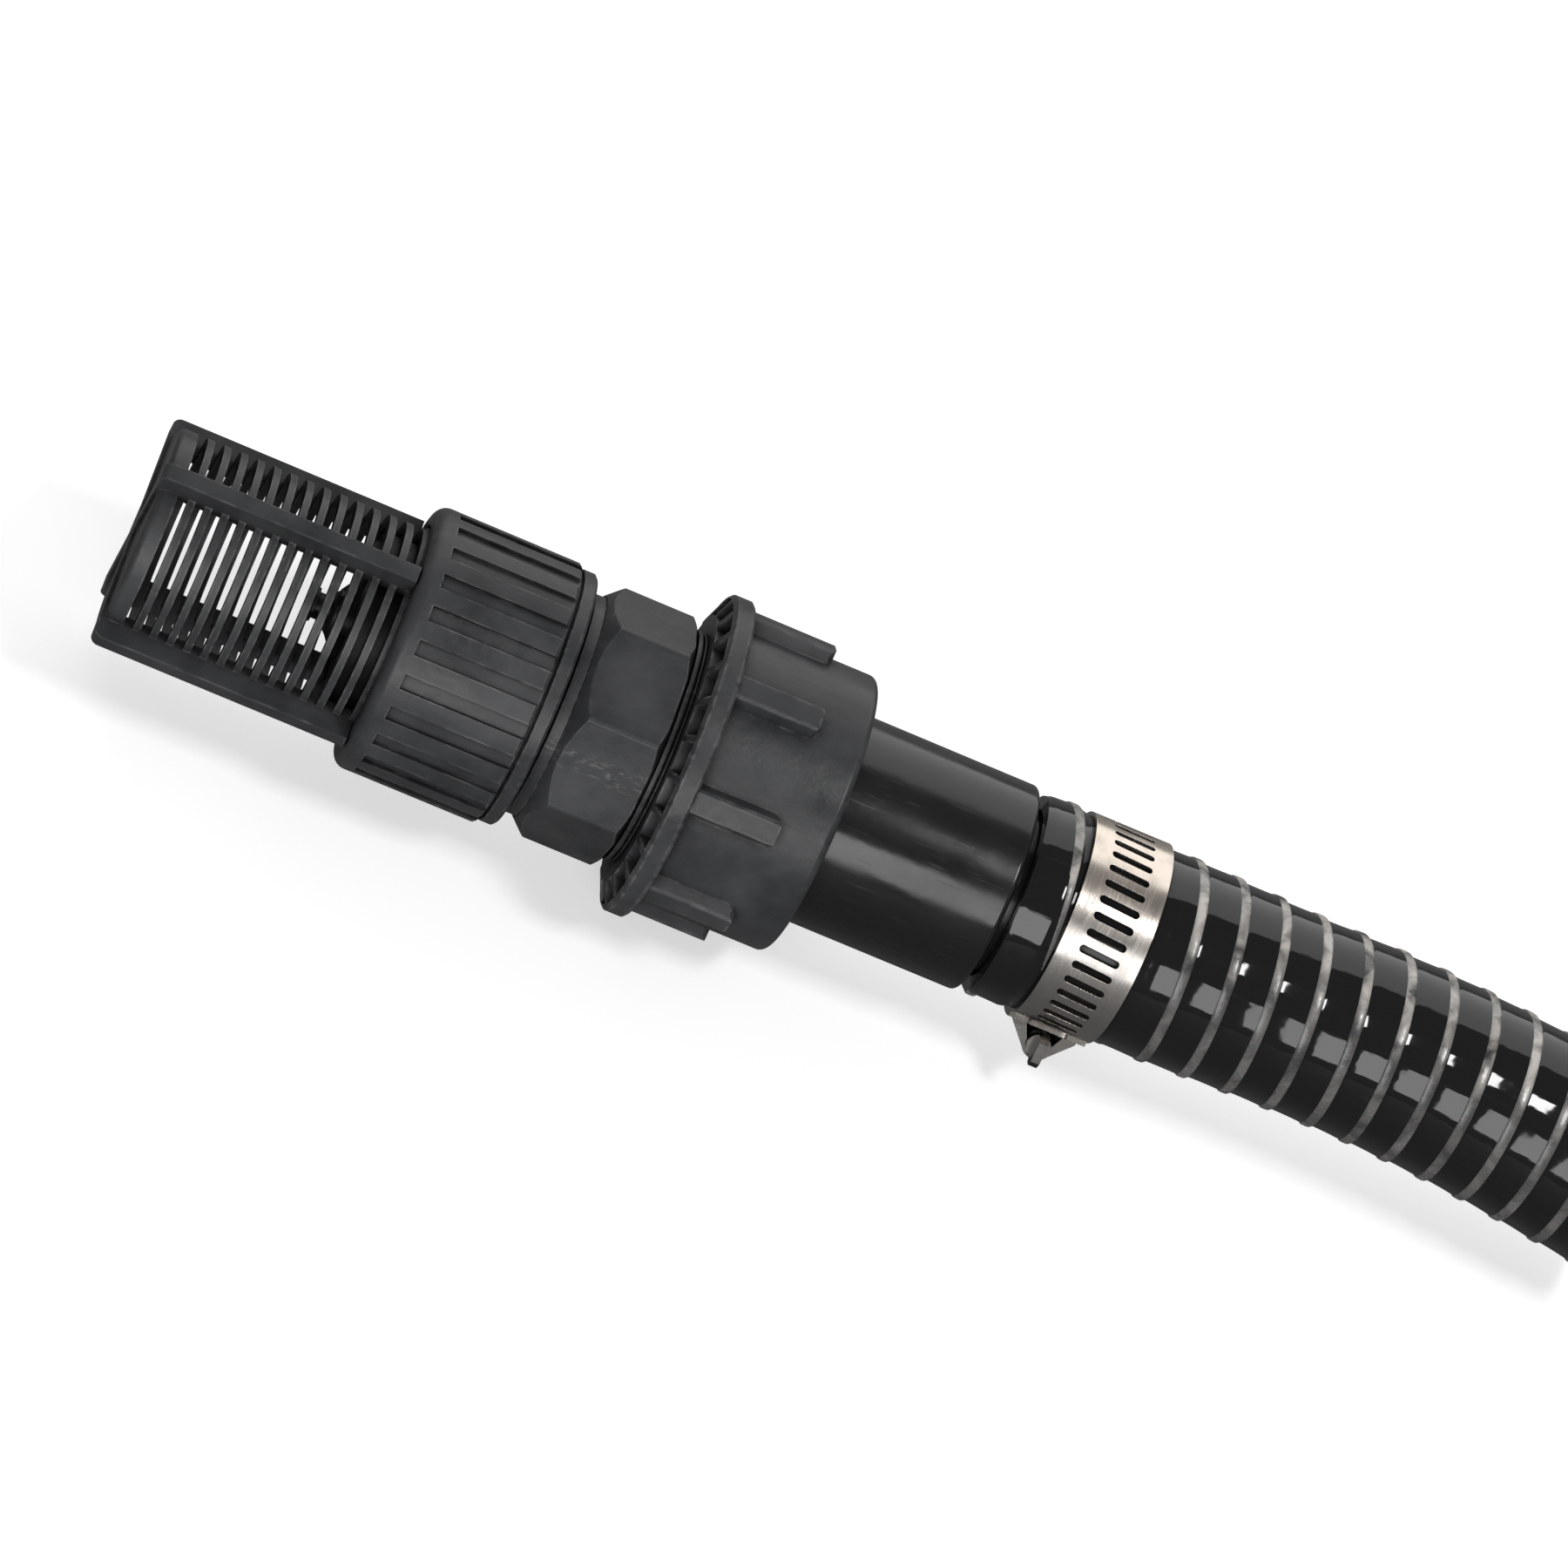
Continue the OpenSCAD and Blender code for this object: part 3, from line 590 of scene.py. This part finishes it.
def clamp_strip(name, radius, first, count):
    """A slotted strip round the hose. Each cell runs from the middle of one slot to the next."""
    pitch = 2 * math.pi * radius / SLOT_COUNT
    columns = 8
    screw_at = joint("screw_turn")["pos_m"]
    start = math.atan2(screw_at[1], -screw_at[2])
    middle = (band_low + band_high) / 2
    mesh = bmesh.new()
    for cell in range(first, first + count):
        grid = []
        for offset in band_offsets():
            gap = slot_half(offset)
            arcs = [gap + (pitch - 2 * gap) * k / columns + SLOT_LEAN * offset + cell * pitch
                    for k in range(columns + 1)]
            angles = [start + arc / radius for arc in arcs]
            grid.append([mesh.verts.new((middle + offset, radius * math.sin(a), -radius * math.cos(a)))
                         for a in angles])
        for row, after in zip(grid, grid[1:]):
            for k in range(columns):
                mesh.faces.new((row[k], row[k + 1], after[k + 1], after[k]))
    bmesh.ops.remove_doubles(mesh, verts=mesh.verts, dist=0.001 * MM)
    for face in mesh.faces:
        face.smooth = True
    data = bpy.data.meshes.new(name)
    mesh.to_mesh(data)
    mesh.free()
    strip = bpy.data.objects.new(name, data)
    bpy.context.scene.collection.objects.link(strip)
    data.materials.append(FINISHES["stainless"])
    thick = strip.modifiers.new("thick", "SOLIDIFY")
    thick.thickness = BAND_THICKNESS
    thick.offset = 1
    bevel = strip.modifiers.new("bevel", "BEVEL")
    bevel.width = 0.1 * MM
    bevel.segments = 2
    bevel.limit_method = "ANGLE"
    bevel.angle_limit = math.radians(50)
    bevel.harden_normals = True
    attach(strip, "hose_side")
    return strip


def clamp_band():
    """The band, and its free end lapped over it inside the screw's housing."""
    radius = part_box("clamp_band")[1].y - BAND_THICKNESS
    band = clamp_strip("clamp_band_strip", radius, first=0, count=SLOT_COUNT)
    clamp_strip("clamp_band_free_end", radius + BAND_THICKNESS, first=-2, count=4)
    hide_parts("clamp_band")


hose_wall()
hose_spiral()
return_spring()
clamp_band()


# ---- Floor, light and camera ----

def floor():
    """A pale floor. It is darker to reflections, a painted shade, so that glossy black stays black underneath."""
    mesh = bmesh.new()
    bmesh.ops.create_grid(mesh, x_segments=8, y_segments=8, size=3.0)
    data = bpy.data.meshes.new("floor")
    mesh.to_mesh(data)
    mesh.free()
    f = Finish("pale_floor")
    rays = f.node("LightPath").outputs
    pale = f.mix(f.noise(0.4, detail=2.0), grey(0.86), grey(0.90))
    # Painted shade: reflections see the floor dark grey
    body = f.mix(rays["Is Glossy Ray"], pale, grey(0.18))
    lift = f.maths("MULTIPLY", rays["Is Camera Ray"], 0.42)
    data.materials.append(f.done(Base_Color=body, Roughness=0.65, Specular_IOR_Level=0.2,
                                 Emission_Color=grey(1.0), Emission_Strength=lift))
    plane = bpy.data.objects.new("floor", data)
    plane.location = (0, 0, cad_box[0].z)
    bpy.context.scene.collection.objects.link(plane)


# The camera looks down at this angle, and the lights are placed about its line of sight
VIEW_ELEVATION = math.radians(45)

# The point on the valve's axis that the lights and the camera face
AIM = Vector((0.104, 0, 0))


def toward_light(above_view):
    """A direction square to the valve's axis, some degrees above the line of sight."""
    angle = VIEW_ELEVATION + math.radians(above_view)
    return Vector((0, -math.cos(angle), math.sin(angle)))


def softbox(name, above_view, width, height, glow, along=0.0, distance=1.3):
    """An area light that faces the object. Glow is its radiance, where a lit white floor is about 1."""
    light = bpy.data.lights.new(name, "AREA")
    light.shape = "RECTANGLE"
    light.size = width
    light.size_y = height
    light.energy = glow * math.pi * width * height
    lamp = bpy.data.objects.new(name, light)
    back = (toward_light(above_view) * distance + AHEAD * along).normalized()
    side = (AHEAD - back * back.x).normalized()
    turn = Matrix((side, back.cross(side), back)).transposed()
    reach = math.hypot(distance, along)
    lamp.matrix_world = Matrix.Translation(AIM + back * reach) @ turn.to_4x4()
    bpy.context.scene.collection.objects.link(lamp)


def surroundings():
    """Dim surroundings for the light, shown pale where the camera sees past the floor."""
    world = bpy.data.worlds.new("studio")
    world.use_nodes = True
    bpy.context.scene.world = world
    nodes = world.node_tree.nodes
    links = world.node_tree.links
    rays = nodes.new("ShaderNodeLightPath")
    tone = nodes.new("ShaderNodeMixRGB")
    tone.inputs["Color1"].default_value = grey(0.22)
    tone.inputs["Color2"].default_value = grey(0.88)
    links.new(rays.outputs["Is Camera Ray"], tone.inputs["Fac"])
    links.new(tone.outputs["Color"], nodes["Background"].inputs["Color"])


def camera():
    """Looks down at 45 degrees, a little from the strainer's end, and rolled so the valve slopes down."""
    swing = math.radians(8.5)
    roll = math.radians(22.65)
    level = math.cos(VIEW_ELEVATION) * math.cos(swing)
    forward = Vector((math.sin(swing), level, -math.sin(VIEW_ELEVATION) * math.cos(swing)))
    flat_right = (AHEAD - forward * forward.x).normalized()
    flat_up = flat_right.cross(forward)
    right = flat_right * math.cos(roll) + flat_up * math.sin(roll)
    up = flat_up * math.cos(roll) - flat_right * math.sin(roll)
    made = bpy.data.objects.new("camera", bpy.data.cameras.new("camera"))
    made.data.lens = 169.4
    made.data.sensor_width = 36
    distance = 1.10
    raised = 2.2 * MM
    target = AIM + flat_up * raised
    turn = Matrix((right, up, -forward)).transposed()
    made.matrix_world = Matrix.Translation(target - forward * distance) @ turn.to_4x4()
    bpy.context.scene.collection.objects.link(made)
    bpy.context.scene.camera = made


floor()
softbox("front_softbox", above_view=-23, width=1.18, height=0.72, glow=4.2, along=-0.215)
softbox("back_softbox", above_view=100, width=1.8, height=1.5, glow=1.2)
softbox("square_softbox", above_view=24, width=0.28, height=0.30, glow=24.0, along=0.55)
surroundings()
camera()
bpy.context.scene.view_settings.view_transform = "Standard"
